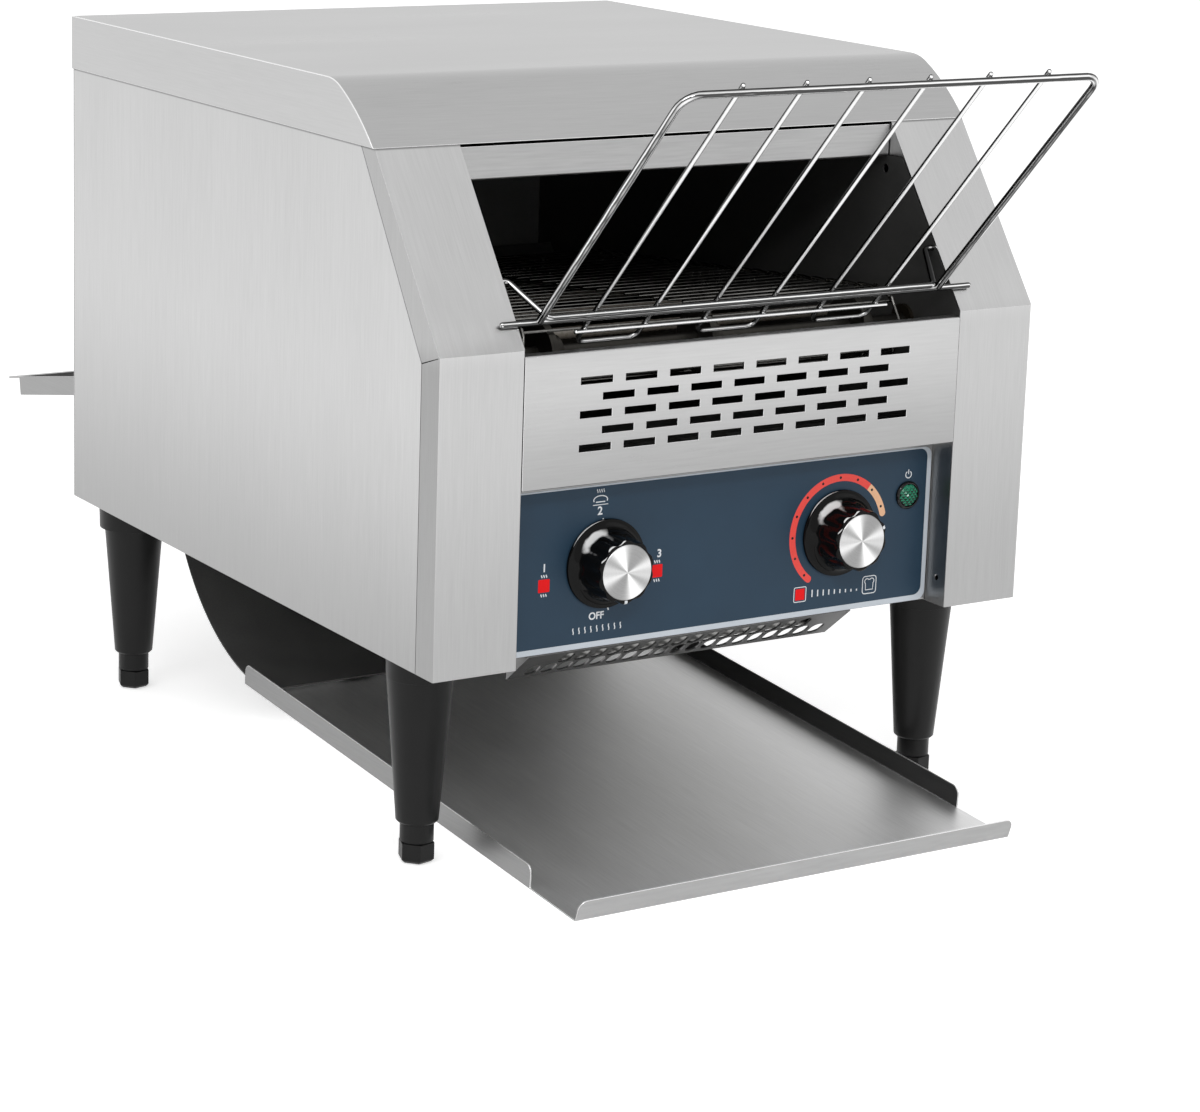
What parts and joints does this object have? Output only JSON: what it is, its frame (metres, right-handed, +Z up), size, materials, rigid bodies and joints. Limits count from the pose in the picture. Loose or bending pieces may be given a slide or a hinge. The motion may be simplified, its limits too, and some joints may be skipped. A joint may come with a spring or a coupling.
{
  "type": "conveyor toaster",
  "caption": "Stainless conveyor toaster on tapered legs, with a wire feed rack, wire belt, curved chute, pull-out output and crumb trays, two knobs and a signal lamp.",
  "frame": {"origin": "on the standing plane, under the middle of the whole object's bounding box", "axes": "X to the right seen from the front, Y to the back, Z up"},
  "size_m": [0.3702, 0.6776, 0.4182],
  "materials": {
    "stainless_steel": "brushed, fine grain",
    "reflector_steel": "aluminised sheet, dull",
    "black_enamel": "black heat-proof enamel, satin",
    "bright_wire": "bright plated wire",
    "belt_wire": "drawn steel",
    "bush_bronze": "sintered bronze",
    "overlay_film": "printed film, satin",
    "black_abs": "moulded, satin",
    "spun_aluminium": "spun face",
    "green_lens": "clear green, faceted",
    "quartz_tube": "milky quartz",
    "ceramic": "glazed ceramic",
    "cast_motor": "die cast",
    "board_laminate": "board laminate"
  },
  "bodies": {
    "casing": {"air_grille": "stainless_steel", "base_plate": "stainless_steel", "cable_gland": "black_abs", "chamber_floor": "reflector_steel", "control_overlay": "overlay_film", "control_panel": "stainless_steel", "conveyor_belt": "belt_wire", "crumb_runners": "stainless_steel", "drive_chain": "belt_wire", "fan_frame": "black_abs", "feed_header": "stainless_steel", "gear_motor": "cast_motor", "grille_screws": "belt_wire", "heater_collars": "ceramic", "hood": "stainless_steel", "inner_wall_left": "black_enamel", "inner_wall_right": "black_enamel", "lamp_bezel": "black_abs", "lamp_lens": "green_lens", "leg_bolts": "belt_wire", "legs": "black_abs", "lower_heaters": "quartz_tube", "lower_reflector": "reflector_steel", "oven_back": "black_enamel", "pillar_left": "stainless_steel", "pillar_right": "stainless_steel", "potentiometer": "black_abs", "rear_panel": "stainless_steel", "rear_screws": "belt_wire", "rotary_switch": "black_abs", "shaft_bushes": "bush_bronze", "side_panel_left": "stainless_steel", "side_panel_right": "stainless_steel", "speed_board": "board_laminate", "terminal_block": "black_abs", "toast_chute": "black_enamel", "top_reflector": "reflector_steel", "upper_heaters": "quartz_tube", "vent_panel": "stainless_steel"},
    "feed_rack": {"feed_rack": "bright_wire"},
    "output_tray": {"output_tray": "stainless_steel"},
    "crumb_tray": {"crumb_tray": "stainless_steel"},
    "heat_selector": {"heat_knob": "black_abs", "heat_knob_cap": "spun_aluminium", "heat_spindle": "belt_wire"},
    "speed_control": {"speed_knob": "black_abs", "speed_knob_cap": "spun_aluminium", "speed_spindle": "belt_wire"},
    "front_axle": {"front_shaft": "belt_wire", "front_sprockets": "belt_wire", "driven_chain_wheel": "belt_wire"},
    "rear_axle": {"rear_shaft": "belt_wire", "rear_sprockets": "belt_wire"},
    "motor_axle": {"motor_shaft": "belt_wire", "motor_chain_wheel": "belt_wire"},
    "fan_impeller": {"fan_rotor": "black_abs"},
    "foot_fl": {"foot_front_left": "black_abs"},
    "foot_fr": {"foot_front_right": "black_abs"},
    "foot_rl": {"foot_rear_left": "black_abs"},
    "foot_rr": {"foot_rear_right": "black_abs"}
  },
  "joints": [
    {"name": "rack_swing", "type": "hinge", "parent": "casing", "child": "feed_rack", "pos_m": [0, -0.19718, 0.305], "axis": [-1, 0, 0], "range_deg": [0, 45]},
    {"name": "tray_pull", "type": "slide", "parent": "casing", "child": "output_tray", "axis": [0, -1, 0], "range_m": [0, 0.2]},
    {"name": "crumb_pull", "type": "slide", "parent": "casing", "child": "crumb_tray", "axis": [0, 0.9823, -0.1874], "range_m": [0, 0.024]},
    {"name": "heat_turn", "type": "hinge", "parent": "casing", "child": "heat_selector", "pos_m": [-0.07398, -0.20819, 0.1568], "axis": [0, -1, 0], "range_deg": [0, 270]},
    {"name": "speed_turn", "type": "hinge", "parent": "casing", "child": "speed_control", "pos_m": [0.07398, -0.20819, 0.1568], "axis": [0, -1, 0], "range_deg": [0, 202.5]},
    {"name": "front_axle_turn", "type": "hinge", "parent": "casing", "child": "front_axle", "pos_m": [0, -0.17619, 0.262], "axis": [1, 0, 0], "continuous": true},
    {"name": "rear_axle_turn", "type": "hinge", "parent": "casing", "child": "rear_axle", "pos_m": [0, 0.1167, 0.23638], "axis": [1, 0, 0], "continuous": true},
    {"name": "motor_axle_turn", "type": "hinge", "parent": "casing", "child": "motor_axle", "pos_m": [0, -0.10218, 0.16], "axis": [1, 0, 0], "continuous": true},
    {"name": "fan_spin", "type": "hinge", "parent": "casing", "child": "fan_impeller", "pos_m": [0.06, -0.02319, 0.125], "axis": [0, 0, 1], "continuous": true},
    {"name": "foot_fl_level", "type": "slide", "parent": "casing", "child": "foot_fl", "axis": [0, 0, -1], "range_m": [0, 0.012]},
    {"name": "foot_fr_level", "type": "slide", "parent": "casing", "child": "foot_fr", "axis": [0, 0, -1], "range_m": [0, 0.012]},
    {"name": "foot_rl_level", "type": "slide", "parent": "casing", "child": "foot_rl", "axis": [0, 0, -1], "range_m": [0, 0.012]},
    {"name": "foot_rr_level", "type": "slide", "parent": "casing", "child": "foot_rr", "axis": [0, 0, -1], "range_m": [0, 0.012]}
  ],
  "couplings": [
    {"joint": "rear_axle_turn", "follows": "front_axle_turn", "ratio": 1},
    {"joint": "motor_axle_turn", "follows": "front_axle_turn", "ratio": 1}
  ]
}
